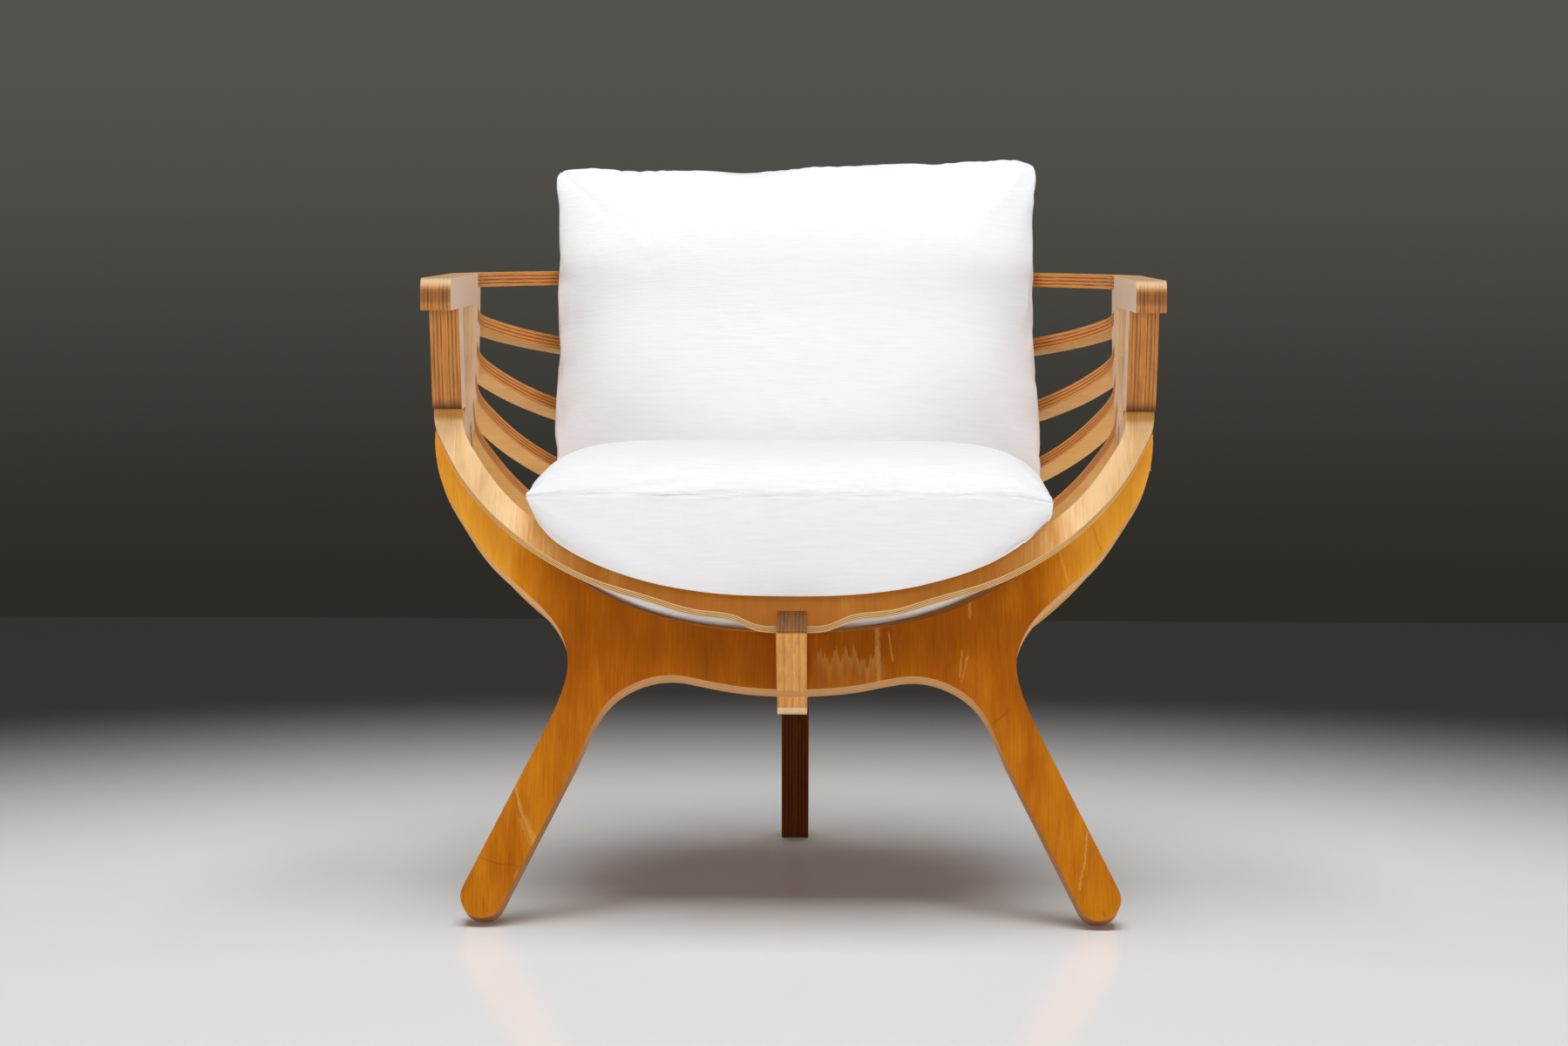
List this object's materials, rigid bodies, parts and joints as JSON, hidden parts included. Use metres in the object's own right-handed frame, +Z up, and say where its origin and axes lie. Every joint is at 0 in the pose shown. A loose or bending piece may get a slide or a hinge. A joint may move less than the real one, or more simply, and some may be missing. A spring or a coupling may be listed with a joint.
{
  "type": "lounge_chair",
  "caption": "Plywood lounge chair: a bowl of bent-outline hoops slotted into side frames and a central spine, three legs, loose white seat and back cushions.",
  "frame": {"origin": "on the floor, below the middle of the chair's overall width and depth", "axes": "+X across the chair, to the right as seen from the front; +Y to the back; +Z up"},
  "size_m": [0.7372, 0.6759, 0.7544],
  "materials": {
    "plywood": "satin",
    "cushion_cover": "matte",
    "cushion_filling": "matte"
  },
  "bodies": {
    "frame": {"front_leg_plate_front": "plywood", "front_leg_plate_back": "plywood", "seat_front_hoop": "plywood", "spine_left_board": "plywood", "spine_right_board": "plywood", "left_side_outer_board": "plywood", "left_side_inner_board": "plywood", "right_side_inner_board": "plywood", "right_side_outer_board": "plywood", "top_rail_hoop": "plywood", "back_hoop_upper": "plywood", "back_hoop_middle": "plywood", "back_hoop_lower": "plywood", "seat_hoop_rear": "plywood", "seat_hoop_middle": "plywood", "seat_hoop_front": "plywood"},
    "seat_cushion": {"seat_cushion_cover": "cushion_cover", "seat_cushion_filling": "cushion_filling"},
    "back_cushion": {"back_cushion_cover": "cushion_cover", "back_cushion_filling": "cushion_filling"}
  },
  "joints": [
    {"name": "seat_cushion_lift", "type": "slide", "parent": "frame", "child": "seat_cushion", "axis": [0, 0, 1], "range_m": [0, 0.1]},
    {"name": "back_cushion_lift", "type": "slide", "parent": "seat_cushion", "child": "back_cushion", "axis": [0, 0, 1], "range_m": [0, 0.15]}
  ]
}
